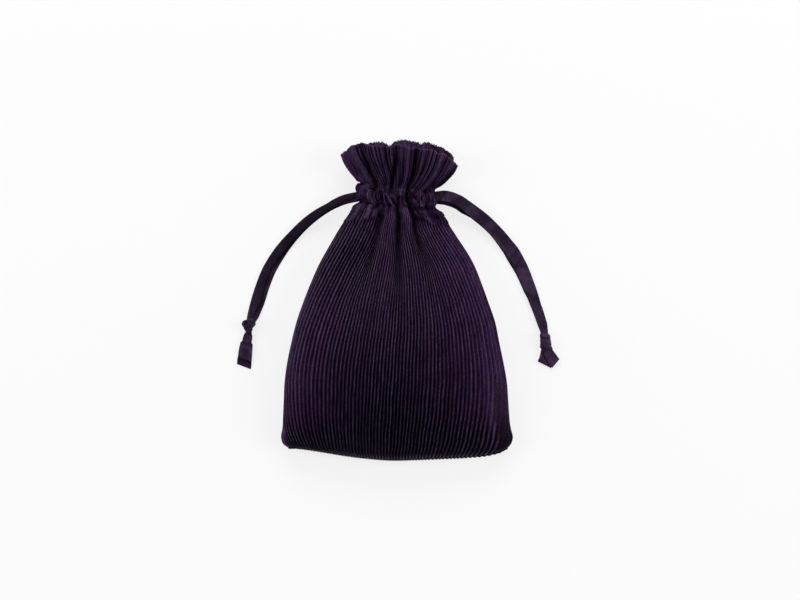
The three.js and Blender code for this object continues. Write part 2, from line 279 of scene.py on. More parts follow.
# %% Pleats
PLEATS, MARGIN_STEPS = 62, 6
MARGINS = read_table("y left right", [
    (-118.5, 0.036, 0.024), (-110, 0.032, 0.024), (-102, 0.017, 0.016), (-90, 0.008, 0.008), (-60, 0.004, 0.005),
    (116, 0.004, 0.004),
])
WANDER = read_table("y pleats", [
    (-118.5, 0.0012), (-60, 0.0008), (50, 0.0011), (70, 0.004), (82, 0.008), (92, 0.003), (116, 0.002),
])
CLOSED = read_table("y share", [
    (-30, 0), (0, 0.15), (24, 0.5), (44, 0.85), (60, 1), (76, 1), (82, 0.8), (91, 1), (102, 0.6), (116, 0.3),
])
FLOW = read_table("y shift spread edge", [
    (-118.5, -0.27, -0.38, 0.2), (-108, -0.22, -0.4, 0.2), (-95, -0.17, -0.4, 0.1), (-80, -0.14, -0.38, 0),
    (-60, -0.105, -0.37, -0.1), (-44, -0.08, -0.365, -0.15), (-24, -0.05, -0.345, -0.1), (0, -0.025, -0.31, 0.05),
    (25, 0, -0.26, 0.3), (50, 0, -0.14, 0.4), (72, 0, 0, 0.2), (116, 0, 0, 0.1),
])
SWALLOWED = (0.326, 0.504, 0.682)
SWALLOW_WIDTH, SWALLOW_DEPTH = 0.045, 0.9
SWAY_CELLS, SWAY_LENGTH = 40, 13
WIDTHS = read_table("from_middle width", [
    (-1, 1.4), (-0.88, 1.55), (-0.6, 1), (-0.3, 0.74), (0.2, 0.72), (0.5, 0.86), (0.8, 1.1), (1, 1.7),
])
LEAN = read_table("share crest", [(0, 0.62), (0.3, 0.58), (0.6, 0.52), (1, 0.46)])
WIDTH_SPREAD = 0.045
CREST_POWER = 1.5
# How much folds differ from each other, and how rounded their crests are.
SINGLE_SPREAD = {"height": 0.08, "tone": 0.09, "gloss": 0.2}
GROUP_SPREAD = {"height": 0.35, "tone": 0.34, "gloss": 0.4}
SINGLE_SOFTNESS, FOLD_SOFTNESS, BUNCH_SOFTNESS = 0.16, 0.10, 0.25
FOLD_SIZES, BUNCH_SIZES = [1, 1, 2, 2, 3, 4], [3, 4, 5, 6, 8]


def ridge(part, crest, softness):
    """0 in the valleys at part 0 and 1, and 1 on the crest between them: a triangle wave with a rounded top."""
    away = np.where(part < crest, (crest - part) / crest, (part - crest) / (1 - crest))
    slope = np.sqrt(away ** 2 + softness ** 2) - softness
    return 1 - slope / (math.sqrt(1 + softness ** 2) - softness)


def layer(part, crest, softness, lit_left, height, tone, gloss):
    """A layer of folds, as values for every column.

    t is 0 in a valley and 1 on the crest. valley is the painted shade of the dark line between two folds, lit is 1 on
    the face towards the light and only near the crest on the other face, which is painted in shade, and line is the
    painted highlight on the crest."""
    left = part < crest
    t = np.where(left, part / crest, (1 - part) / (1 - crest))
    lit = np.where(left == lit_left, 1, t ** 4)
    return {
        "ridge": ridge(part, crest, softness), "valley": ramp(0, 0.35, t), "lit": lit, "line": gloss * t ** 5,
        "height": height, "tone": tone,
    }


class Pleats:
    """The columns of one face: the pleats' own, and the margins' on each side of them.

    Its layers are the single pleats, the folds of a few pleats and the bunches of several."""

    def __init__(self, steps, seed):
        draw = np.random.default_rng(seed)
        widths = look_up(WIDTHS, np.linspace(-1, 1, PLEATS), "width")
        widths = widths * np.clip(1 + WIDTH_SPREAD * draw.normal(size=PLEATS), 0.8, 1.25)
        edges = np.concatenate([[0], np.cumsum(widths)]) / widths.sum()
        lean = look_up(LEAN, edges[:-1], "crest")[:, None]
        rise = 1 - (1 - np.arange(steps + 1) / steps) ** CREST_POWER
        part = np.hstack([lean * rise[:-1], 1 - (1 - lean) * rise[:0:-1]])
        self.seed = seed
        self.part = np.append(part, 1.0)
        self.number = np.append(np.repeat(np.arange(PLEATS), 2 * steps), PLEATS - 1)
        self.place = edges[self.number] + self.part * np.diff(edges)[self.number]
        varied = {
            name: np.clip(1 + spread * draw.normal(size=PLEATS), 0.3, 1.7)[self.number]
            for name, spread in SINGLE_SPREAD.items()
        }
        self.layers = {
            "single": layer(self.part, lean[self.number, 0], SINGLE_SOFTNESS, self.place < 0.5, **varied),
            "fold": self.groups(draw, FOLD_SIZES, FOLD_SOFTNESS),
            "bunch": self.groups(draw, BUNCH_SIZES, BUNCH_SOFTNESS),
        }

    def groups(self, draw, sizes, softness):
        """Folds of several pleats each, of unlike heights and tones, with crests to one side or the other."""
        first = np.minimum(np.concatenate([[0], np.cumsum(draw.choice(sizes, PLEATS))]), PLEATS)
        group = np.searchsorted(first, self.number, side="right") - 1
        part = (self.number + self.part - first[group]) / (first[group + 1] - first[group])
        varied = {
            name: np.clip(1 + spread * draw.normal(size=PLEATS + 1), 0.4, 1.35)[group]
            for name, spread in GROUP_SPREAD.items()
        }
        lit_left = draw.random(PLEATS + 1)[group] < 0.5
        return layer(part, draw.uniform(0.25, 0.75, PLEATS + 1)[group], softness, lit_left, **varied)

    def with_margins(self, values, rim_value):
        """Values per pleat column, with the margins' blended from the edge pleat to rim_value at the side folds."""
        t = (np.arange(MARGIN_STEPS) / MARGIN_STEPS) ** 3
        left = rim_value + (values[..., :1] - rim_value) * t
        right = rim_value + (values[..., -1:] - rim_value) * t[::-1]
        return np.concatenate([left, values, right], axis=-1)

    def shares(self, stations):
        """Each column's share of the face's width at each station.

        Pleats wander a little along their length. Near the neck the gathers swallow some of them: the spacing of the
        pleats falls near each gather, and the others spread. Then the whole face flows: place p moves by
        p * (1 - p) * (shift + spread * (1 - 2 p) + edge * (1 - p)^8)."""
        station = stations[:, None]
        left, right = look_up(MARGINS, station, "left", "right")
        sway = crumple(self.place[None] * SWAY_CELLS, station / SWAY_LENGTH, self.seed)
        sway = look_up(WANDER, station, "pleats") * sway * np.minimum(1, 8 * self.place * (1 - self.place))
        place = np.maximum.accumulate(np.clip(self.place + sway, 0, 1), axis=1)
        closed = SWALLOW_DEPTH * look_up(CLOSED, station, "share")
        spacing = 1 - closed * sum(bell(self.place, at, SWALLOW_WIDTH) for at in SWALLOWED)
        steps = np.diff(place, axis=1) * (spacing[:, 1:] + spacing[:, :-1]) / 2
        place = np.hstack([np.zeros((len(stations), 1)), np.cumsum(steps, axis=1)])
        place = place / place[:, -1:]
        shift, spread, edge = (
            smooth_through(FLOW["y"], FLOW[key], stations)[:, None] for key in ("shift", "spread", "edge")
        )
        place = place + place * (1 - place) * (shift + spread * (1 - 2 * place) + edge * (1 - place) ** 8)
        pleated = left + (1 - left - right) * place
        t = np.arange(MARGIN_STEPS) / MARGIN_STEPS
        return np.hstack([pleated[:, :1] * t, pleated, 1 - (1 - pleated[:, -1:]) * t[::-1]])


# %% [markdown]
# The drawstrings pull the neck into three large gathers. Each is a valley with its own path across the face, deep
# in the ruffle and below the casing and shallow in the casing itself, and the middle one runs far down the body.
# The cloth below the casing stands out as a flap on each side, down to the hem of the casing's inside, where the
# fine pleats begin.

# %% Gathers
LOW_STITCH, HIGH_STITCH, RIM = 74.5, 90.0, 115.5
GATHERS = {
    "front": read_table("y left centre right left_depth centre_depth right_depth width", [
        (-30, 0.3, 0.505, 0.67, 0, 0, 0, 0.024),
        (10, 0.31, 0.505, 0.67, 0.4, 2.2, 0.5, 0.026),
        (34, 0.31, 0.505, 0.672, 2, 5, 2.4, 0.03),
        (54, 0.31, 0.506, 0.672, 4.6, 7, 5.4, 0.034),
        (66, 0.31, 0.51, 0.675, 6.4, 7, 6.6, 0.034),
        (74, 0.25, 0.49, 0.66, 4.6, 4.2, 5, 0.028),
        (82, 0.235, 0.43, 0.64, 3.8, 3.2, 4.6, 0.024),
        (91, 0.2, 0.417, 0.63, 5, 5.2, 5.6, 0.03),
        (99, 0.17, 0.435, 0.638, 6, 6.6, 7.4, 0.034),
        (110, 0.17, 0.465, 0.65, 5.6, 6, 7.2, 0.036),
        (124, 0.17, 0.48, 0.66, 4.6, 5, 5.6, 0.04),
    ]),
    "back": read_table("y left centre right left_depth centre_depth right_depth width", [
        (-10, 0.28, 0.5, 0.76, 0, 0, 0, 0.04),
        (40, 0.28, 0.5, 0.76, 2, 2.4, 2, 0.045),
        (64, 0.28, 0.5, 0.76, 4, 4.2, 4, 0.045),
        (82, 0.28, 0.5, 0.76, 2, 2, 2, 0.04),
        (98, 0.27, 0.47, 0.75, 4.4, 4.4, 4.4, 0.045),
        (126, 0.26, 0.42, 0.69, 3.4, 5, 3.4, 0.045),
    ]),
}


def gather(face, across, y):
    """How far the three large gathers pull the cloth in."""
    table, pull = GATHERS[face], 0
    for name in ("left", "centre", "right"):
        at, depth, width = look_up(table, y, name, name + "_depth", "width")
        pull = pull - depth * bell(across, at, width)
    return pull


# %% [markdown]
# How deep the pleats are and how much painted sheen they get changes over the bag. Tables give that by height, at the
# left, in the middle and at the right. The painted sheen is lighter on the flanks and the neck and darker low in the
# middle. WIDE is how
# broad the painted lit part of a pleat is: on the flanks a pleat lies open and its face is painted light, and in the
# middle only its crest is.

# %% Depth and painted sheen
DEEPEST, RIM_TEETH, FLOOR_GAP = 7.0, 0.8, 0.05
TEETH_SHARES = {"single": 0.5, "fold": 1.3}
AT_SIDE_FOLD = {"ridge": 0.7, "valley": 1.0, "lit": 0.7, "line": 0.1, "height": 1.0, "tone": 1.0}
WIDE_POWER, PAINTED_SHEEN_POWER = 1.0, 2.8
WIDE = read_table("y left middle right", [
    (-118, 0.1, 0, 0.1), (-106, 0.4, 0, 0.4), (-98, 0.8, 0.1, 0.85), (-90, 1, 0.16, 1.1), (-60, 0.8, 0.25, 1.1),
    (-40, 0.62, 0.28, 1.05), (-20, 0.5, 0.32, 1), (10, 0.38, 0.38, 0.9), (45, 0.3, 0.4, 0.8), (76, 0.5, 0.5, 0.5),
    (116, 0.3, 0.3, 0.3),
])
HEM = read_table("across y share", [
    (0, 62.5, 0.8), (0.1, 62.6, 0.9), (0.26, 64, 1), (0.32, 70, 1), (0.38, 74, 0.6), (0.62, 74, 0.5), (0.67, 69, 0.7),
    (0.74, 63, 0.85), (0.86, 58.5, 0.85), (1, 60, 0.7),
])
PAINTED_SHEEN = read_table("y left middle right", [
    (-118, 0.9, 0.36, 0.9), (-104, 1.05, 0.32, 1.1), (-90, 1.6, 0.32, 1.95), (-60, 2, 0.47, 1.95),
    (-20, 2, 0.85, 1.65), (20, 1.65, 1.25, 1.6), (60, 1.2, 1.3, 1.3), (80, 1.3, 1.5, 1.45), (90, 1.35, 1.6, 1.5),
    (98, 2.7, 3.2, 3.2), (116, 2.6, 3.1, 3.1),
])
PLEAT_DEPTH = read_table("y single fold bunch", [
    (-118.5, 0.7, 0, 0), (-115, 1.4, 0, 0), (-108, 2, 0, 0), (-90, 2.5, 0, 0), (0, 2.4, 0, 0), (40, 2.1, 0, 0),
    (58, 1.8, 0, 1), (64, 1.6, 0.2, 2), (70, 1.4, 0.4, 2.2), (74.5, 1.2, 0.6, 1.6), (82, 1.4, 0.6, 1.5),
    (88, 1.3, 0.8, 1.2), (91, 0.8, 1.5, 0.7), (97, 0.9, 2.3, 0.2), (108, 1, 2.4, 0), (116, 1, 2.4, 0),
])
STITCHES = read_table("across low high", [
    (0, 1, 1), (0.13, 1, 0.9), (0.2, 0.3, 0.3), (0.4, 0.15, 0.15), (0.57, 0.2, 0.15), (0.62, 0.8, 0.3), (0.8, 1, 0.5),
    (1, 1, 0.8),
])


def between_flanks(table, across, y, power):
    """A value by height on the bag, from a table's middle column to its left and right ones at the sides."""
    left, middle, right = look_up(table, y, "left", "middle", "right")
    return middle + (np.where(across < 0.5, left, right) - middle) * np.abs(2 * across - 1) ** power


# %% [markdown]
# Some places differ from what is round about them: smooth lobes and a plain band down the right side, where the
# pleats lie flat, and patches of painted highlight and painted shade, such as the flap's dark underside and the
# shadow under the hem.
# Pressed marks are shown only as painted highlights. Each is a soft patch with its own place. Noise stands for the
# crumples that no table lists, and its seeds are fixed, so that every run gives the same cloth.

# %% Spots and noise
# Painted light and shade at places: how much lighter or darker the painted sheen, the faces of the pleats and their
# lines are.
# It is painted shade in the gathers and dents, under the hem, on the flap's underside, on the band and at the right
# edge, painted highlight on the crumple crests, the lens and the stripe, and elsewhere painted lighter or darker by
# place.
PAINTED_SHEEN_CHANGE = {
    "gather": -0.65, "dent": -0.6, "crest": 0.4, "hem": -0.35, "under": -0.65, "right_edge_shade": -0.8, "left_high": -0.4,
    "left_mid": -0.35, "casing_left": -0.35, "casing_middle": 0.8, "casing_right": -0.3, "lens": 0.2, "stripe": 1.1,
    "right_high": 0.2, "low_right": -0.25, "flap_right": -0.7,
}
PANEL_CHANGE = {"band": -0.96, "left_high": -0.5}
LINE_CHANGE = {"casing": -0.3, "ruffle": -0.5, "left_high": 0.1, "band": -0.25}
# Painted shade along the stitches, and painted sheen that follows the crinkles and soft crumples and is mottled on
# the ruffle's side.
STITCH_SHADE, CRINKLE_SHEEN, SOFT_SHEEN, MOTTLE = 0.4, 0.3, 0.15, 0.7
# Where the pleats lie flat.
CALM = ("lobe", "corner", "lens", "band", "ruffle_side")
# Noise: cells across a face, millimetres to a cell along the bag (0 where it doesn't change) and a seed.
NOISE = {
    "hem": (13, 0, 14), "soft": (13, 11, 5), "lumps": (9, 6, 10), "small_lumps": (21, 4.5, 11), "fine": (40, 3.2, 9),
    "dent": (17, 9, 21), "crest": (17, 9, 22), "stitch": (16, 0, 12), "mottle": (90, 3.5, 15), "mark": (30, 0, 16),
}
# How many millimetres the cloth is pushed out, or pulled in where it is less than 0.
LIFT = {"soft": 0.7, "stitch": -2.0, "dent": -0.7, "crest": 0.4, "casing": 0.7, "lobe": 1.6, "flap": 2.0, "lens": 1.0}
HEM_WAVER, STITCH_WAVER, FLAP_CRUMPLE = 2.2, 0.9, 0.7
MARKS_Y, MARKS_WAVER = -95, 1.6
CALMEST, SIDE_STEEPNESS = 0.1, 30


def spots_at(across, y):
    """Places on the front where the cloth lies smooth, or where light or shade is painted lighter or darker than
    round about.
    """
    def patch(middle, width, height, reach):
        return bell(across, middle, width) * bell(y, height, reach)

    return {
        "lobe": 0.6 * patch(0.09, 0.09, 87, 6.5),
        "corner": (1 - ramp(0.01, 0.022, across)) * (1 - ramp(-106, -100, y)),
        "lens": 0.7 * patch(0.59, 0.03, 70, 6.5),
        "band": 0.85 * ramp(0.925, 0.95, across) * (1 - ramp(-74, -52, y)),
        "stripe": patch(0.922, 0.012, -92, 20),
        "ruffle_side": 0.75 * (1 - ramp(0.06, 0.12, across)) * ramp(94, 99, y),
        "under": ramp(0.90, 0.97, across) * ramp(88, 92, y) * (1 - ramp(101, 106, y)),
        "left_high": patch(0.2, 0.15, 36, 22),
        "left_mid": patch(0.28, 0.11, -55, 35),
        "low_right": ramp(0.93, 0.99, across) * (1 - ramp(-110, -96, y)),
        "casing_left": (1 - ramp(0.28, 0.36, across)) * bell(y, 82, 8),
        "casing_middle": patch(0.45, 0.13, 83, 7),
        "casing_right": ramp(0.6, 0.7, across) * bell(y, 81, 8),
        "flap_right": ramp(0.68, 0.76, across) * bell(y, 66, 5),
        "marks": ramp(0.72, 0.76, across) * (1 - ramp(0.88, 0.92, across)),
        "right_edge_shade": ramp(0.986, 0.997, across) * (1 - ramp(0, 12, y)) * ramp(-74, -60, y),
        "right_high": patch(0.86, 0.12, 30, 24),
    }


def changed(value, changes, places):
    """A value made lighter or darker at some places, by each place's share."""
    for name, amount in changes.items():
        value = value * (1 + amount * places[name])
    return value


def noise(name, across, station):
    """One kind of the cloth's noise, by place across a face and station along the bag."""
    cells, length, seed = NOISE[name]
    return crumple(across * cells, station / length if length else 0.5 + 0 * station, seed)


# %% [markdown]
# The folded cloth is the unfolded one, moved out along its normal by the pleats, the gathers and the other lifts.
# The same arrays say how light each point is painted: a painted sheen that follows the folds, painted shade in the
# valleys and gathers, and painted highlights on the crests.

# %% The folded cloth
def cloth(face, pleats, stations, plain=False):
    """Points of the folded cloth, its outward direction, and the values that its material reads.

    Point = base + normal * (pleats + gathers + lifts), lying no lower than the surface it rests on. panel is the
    painted light and shade of a pleat's faces, line the painted highlight on its crest, edge the painted highlight on
    the cut edge and the smooth corner, and tick the painted highlight on the crests' ends at the seam and on a row of
    pressed marks above it."""
    share = pleats.shares(stations)
    base, across = base_surface(face, share, stations)
    normal = outward(base, face)
    station, y = stations[:, None], base[..., 1]
    front = face == "front"

    # Where on the bag a point is.
    hem, hem_share = look_up(HEM, across, "y", "share")
    hem = hem + HEM_WAVER * noise("hem", across, station)
    # A band under the hem is painted in shadow.
    above_hem, hem_shadow = hem_share * ramp(hem - 1, hem + 1, y), hem_share * bell(y, hem - 1.8, 1.5)
    casing = ramp(LOW_STITCH - 1, LOW_STITCH + 2, station) * (1 - ramp(HIGH_STITCH - 2, HIGH_STITCH + 1, station))
    ruffle = ramp(HIGH_STITCH - 1, HIGH_STITCH + 4, station)
    flap = above_hem * (1 - ramp(LOW_STITCH - 6, LOW_STITCH, station))
    doubled = casing + FLAP_CRUMPLE * flap
    spots = {name: (front or name == "ruffle_side") * spot for name, spot in spots_at(across, y).items()}
    calm = np.clip(1 - sum(spots[name] for name in CALM), CALMEST, 1)

    # The pleats: their depth, and the painted light and shade on each part of them.
    wide = between_flanks(WIDE, across, y, WIDE_POWER) * (1 - 0.9 * spots["left_high"])
    depth = {key: look_up(PLEAT_DEPTH, station, key) for key in pleats.layers}
    smoothed = (0.62 - 0.45 * casing - 0.55 * ruffle) * above_hem
    depth["single"] = depth["single"] * (1 - smoothed) * (1 - 0.35 * wide)
    depth["bunch"] = depth["bunch"] * (0.1 + 0.9 * above_hem)
    layers = {
        key: {name: pleats.with_margins(column, AT_SIDE_FOLD[name]) for name, column in columns.items()}
        for key, columns in pleats.layers.items()
    }
    pleated = sum(depth[key] * columns["height"] * (columns["ridge"] - 0.5) for key, columns in layers.items())
    pleated = 0 if plain else calm * pleated
    weight = {
        "single": (2.2 + casing + ruffle) * depth["single"], "fold": (1 + 0.4 * ruffle) * depth["fold"],
        "bunch": depth["bunch"],
    }
    valley, lit, line, tone = (
        sum(weight[key] * columns[name] for key, columns in layers.items()) / sum(weight.values())
        for name in ("valley", "lit", "line", "tone")
    )
    valley, lit = (value ** (1 + 0.8 * casing + 1.1 * ruffle) for value in (valley, lit))
    # Painted light and shade on the pleats: shade in the valleys and on the face turned from the light, a highlight
    # on the crest, and even light where the cloth lies flat.
    in_valley, in_shade = 0.2 + 0.15 * wide, 0.15 + 0.75 * wide
    panel = (in_valley + (0.8 - 0.15 * wide) * valley) * (lit + (1 - lit) * in_shade)
    line = line * (1.1 - 0.85 * wide)
    panel, line = panel * calm + 1.0 * (1 - calm), line * calm + 0.1 * (1 - calm)

    # The larger forms: gathers, crumples, stitches and what stands out.
    free = np.minimum(1, SIDE_STEEPNESS * share * (1 - share))
    pull = gather(face, across, y)
    soft = noise("soft", across, station) * ramp(35, 70, station)
    fine = 0.6 + 0.4 * ramp(0.6, 0.75, across)
    lumps = 0.6 * noise("lumps", across, station) + 0.5 * noise("small_lumps", share, station)
    crinkle = 0 if plain else doubled * (lumps + fine * noise("fine", share, station))
    dent, crest = (doubled * bell(noise(name, share, station), 0, 0.11) for name in ("dent", "crest"))
    waver = STITCH_WAVER * noise("stitch", across, station)
    low, high = look_up(STITCHES, across, "low", "high")
    stitch = low * bell(station + waver, LOW_STITCH, 1.3) + high * bell(station - waver, HIGH_STITCH, 1.2)
    lifted = {
        "soft": soft, "stitch": stitch, "dent": dent, "crest": crest, "casing": casing * low, "flap": flap,
        "lobe": spots["lobe"], "lens": spots["lens"],
    }
    out = pleated + free * (pull + crinkle + sum(LIFT[name] * value for name, value in lifted.items()))
    loose = 1.0 if front else ramp(0.2, 5, base[..., 2])  # The back is pressed flat where it rests.
    points = base + normal * (out * loose)[..., None]
    if not plain:
        teeth = sum(part * (layers[key]["ridge"] - 0.5) for key, part in TEETH_SHARES.items())
        points[..., 1] += RIM_TEETH * teeth * ramp(RIM - 6, RIM, station)
    points[..., 2] = np.maximum(points[..., 2], FLOOR_GAP)

    # The painted sheen and shade, and the painted highlights on the lines and marks.
    # The gathers are painted in shade, the deeper the darker.
    places = {
        **spots, "casing": casing, "ruffle": ruffle, "dent": dent, "crest": crest, "hem": hem_shadow,
        "gather": np.clip(-pull / DEEPEST, 0, 1),
    }
    painted_sheen = changed(between_flanks(PAINTED_SHEEN, across, y, PAINTED_SHEEN_POWER) * tone, PAINTED_SHEEN_CHANGE, places)
    painted_sheen = painted_sheen * np.clip(1 - STITCH_SHADE * stitch, 0.3, 1)
    painted_sheen = painted_sheen * np.clip(1 + CRINKLE_SHEEN * crinkle + SOFT_SHEEN * soft, 0.35, 1.7)
    painted_sheen = painted_sheen * np.clip(1 + MOTTLE * spots["ruffle_side"] * noise("mottle", across, station), 0.4, 2)
    panel = changed(panel * painted_sheen, PANEL_CHANGE, places)
    # Painted highlights on the crests' ends at the seam and on the pressed marks, painted shade on the lines just
    # above the seam, and painted highlights on the crumple crests and the stripe.
    from_seam = station - SECTIONS["y"][0]
    pressed = spots["marks"] * bell(y, MARKS_Y + MARKS_WAVER * noise("mark", across, station), 0.9)
    tick = line * (bell(from_seam, 1.0, 1.0) + 0.45 * pressed)
    line = line * (1 - 0.45 * bell(from_seam, 3.8, 1.8))
    line = line + (0.25 + 0.5 * spots["casing_left"]) * crest + 0.04 * spots["stripe"]
    line = changed(line * (0.3 + 0.7 * painted_sheen), LINE_CHANGE, places)
    return points, normal, {"panel": panel, "line": line, "edge": 0.45 * spots["corner"], "tick": tick}


# %% [markdown]
# Each face is cut into three sheets: the pouch, the head, whose cloth turns in over the rim, and a plain lining.

# %% Sheets
WALL = read_table("y wall", [(74.5, 3.4), (77, 5), (87, 5), (92, 1.6), (98, 0.9), (116, 0.8)])
LINING_DEPTH, LINING_GAP, BACK_SHINE = 3.4, 0.8, 0.2


def flat_size(points):
    """The size of a sheet before it was folded, in metres: its longest row, its middle column, and its area, which
    is the mean row times the middle column."""
    rows, columns = (np.linalg.norm(np.diff(points, axis=k), axis=-1).sum(axis=k) * MM for k in (1, 0))
    return rows.max(), np.median(columns), rows.mean() * np.median(columns)


def stations_between(*runs):
    """Stations in runs of (from, to, count)."""
    return np.unique(np.concatenate([np.linspace(a, b, n) for a, b, n in runs]))


def with_inside(points, normal, values, stations, shine):
    """The cloth turned over its rim: the outer rows, one row over the edge and the inner rows, a wall's depth in."""
    wall = look_up(WALL, stations, "wall")[:, None, None]
    inner = (points - normal * wall)[::-1]
    inner[..., 2] = np.maximum(inner[..., 2], FLOOR_GAP + 0.5 * np.minimum(wall[::-1, :, 0], 1))
    over = (points[-1:] + inner[:1]) / 2 + 0.5 * unit(points[-1:] - points[-2:-1])
    turned = {key: np.vstack([array, array[-1:], array[::-1]]) for key, array in values.items()}
    rim = bell(np.concatenate([stations, [RIM], stations[::-1]]), RIM, 0.6)[:, None]
    # The edge is a painted highlight along the rim's fold, weaker on the back.
    turned["edge"] = shine * rim * (0.06 + 0.3 * np.clip(turned["panel"], 0, 1))
    return np.vstack([points, over, inner]), turned


STATIONS = stations_between(
    (-118.5, -111, 16), (-111, -90, 20), (-90, 30, 44), (30, 54, 18), (54, LOW_STITCH, 36),
    (LOW_STITCH, HIGH_STITCH, 26), (HIGH_STITCH, 95, 9), (95, RIM, 26),
)
NECK_ROW = int(np.searchsorted(STATIONS, LOW_STITCH))
POUCH_ROWS, HEAD_ROWS, LINING_ROWS = slice(0, NECK_ROW + 1), slice(NECK_ROW, None), slice(3, NECK_ROW + 1, 3)
faces = {"front": Pleats(4, 62), "back": Pleats(3, 63)}
satin_pieces, sheets = [], {}


def add_sheet(name, points, values, flip):
    """A sheet of the body's satin, with the size that it was cut to."""
    satin_pieces.append(grid_piece(name, points, "pleated_body", values, flip=flip))
    sheets[name] = (satin_pieces[-1], flat_size(points))


for face, pleats in faces.items():
    turned = face == "back"
    points, normal, values = cloth(face, pleats, STATIONS)
    pouch, head = ({key: array[rows] for key, array in values.items()} for rows in (POUCH_ROWS, HEAD_ROWS))
    add_sheet(f"pouch_{face}", points[POUCH_ROWS], pouch, turned)
    shine = BACK_SHINE if turned else 1.0
    points, head = with_inside(points[HEAD_ROWS], normal[HEAD_ROWS], head, STATIONS[HEAD_ROWS], shine)
    add_sheet(f"head_{face}", points, head, turned)
    points, normal, values = cloth(face, Pleats(1, pleats.seed), STATIONS, plain=True)
    points = (points - normal * LINING_DEPTH)[LINING_ROWS]
    points[..., 2] = np.maximum(points[..., 2], LINING_GAP)
    add_sheet(f"lining_{face}", points, {key: array[LINING_ROWS] for key, array in values.items()}, not turned)

# %% [markdown]
# The two faces are sewn together along the bottom, and the seam's edge is a thin roll. Every pleat ends in it, so
# it is a little thicker under each crest.

# %% Bottom seam
SEAM_RADIUS, SEAM_SHADE = 1.0, 0.1
SEAM_TURN = np.linspace(0, 2 * np.pi, 14, endpoint=False)
seam_rows = [cloth(face, faces["front"], SECTIONS["y"][0] + np.arange(3.0))[0][0] for face in faces]
seam_path = (seam_rows[0] + seam_rows[1]) / 2
seam_crest = faces["front"].with_margins(faces["front"].layers["single"]["ridge"], 0.5)
radius = SEAM_RADIUS * (0.85 + 0.3 * seam_crest)[:, None]
seam_points = seam_path[:, None] + np.stack(
    [0 * radius * SEAM_TURN, radius * np.cos(SEAM_TURN) + 0.1, radius * np.sin(SEAM_TURN)], axis=-1
)
# The roll is painted dark, as painted shade along the bottom edge.
seam_values = {"panel": SEAM_SHADE, "line": 0.0, "edge": 0.0, "tick": 0.0}
bottom_seam = grid_piece("bottom_seam", seam_points, "pleated_body", seam_values, tube=True)
satin_pieces.append(bottom_seam)

# %% [markdown]
# ## The drawstrings
# A ribbon is a flat profile carried along a path. A table along its length gives the width, the roll about its own
# line, and the tone, which is painted light and shade: satin turns lighter or darker with the way that it lies to the
# light. The painted tone changes along slanting lines, as on a ribbon that bends in facets. Creases add single folds
# with painted shade in them and a painted highlight beside them, and slits are folds drawn only in painted shade and
# highlight.

# %% Ribbons
RIBBON_THICKNESS, TAIL_THICKNESS = 0.9, 0.8
FACET_SLANT = 2.2
STRAND_ROWS, TAIL_ROWS, PROFILE_STEPS = 180, 44, 32
UP = np.array([0, 0, 1.0])


def resampled(points, count):
    """Points at equal steps along the smooth curve through some points."""
    chord = np.concatenate([[0], np.cumsum(np.linalg.norm(np.diff(points, axis=0), axis=1))])
    dense = smooth_through(chord, points, np.linspace(0, chord[-1], 12 * count))
    length = np.concatenate([[0], np.cumsum(np.linalg.norm(np.diff(dense, axis=0), axis=1))])
    steps = np.linspace(0, length[-1], count)
    return np.stack([np.interp(steps, length, dense[:, axis]) for axis in range(3)], axis=1)


def carried(path, across, profile, closed=False, lead=0):
    """A closed profile of (width, height) points carried along a path.

    Point = path + width * across + height * (across x tangent), for every row of the path. lead slants a row: it is
    how far a point goes ahead for each unit of width."""
    ahead = np.roll(path, -1, axis=0) - np.roll(path, 1, axis=0) if closed else np.gradient(path, axis=0)
    tangent = unit(ahead)
    across = unit(across - tangent * np.sum(across * tangent, axis=1, keepdims=True))
    above = np.cross(across, tangent)
    ahead = lead * profile[..., :1] * tangent[:, None]
    return path[:, None] + profile[..., :1] * across[:, None] + profile[..., 1:] * above[:, None] + ahead


def flat_loop(width, thickness):
    """A flat closed outline with rounded edges: a superellipse, at each row's own width."""
    turn = np.linspace(0, 2 * np.pi, PROFILE_STEPS, endpoint=False)
    cosine, sine = np.cos(turn), np.sin(turn)
    wide = np.sign(cosine) * np.abs(cosine) ** 0.55
    high = np.sign(sine) * np.abs(sine) ** 0.7
    return np.stack(np.broadcast_arrays(width * wide / 2, thickness * high / 2), axis=-1)


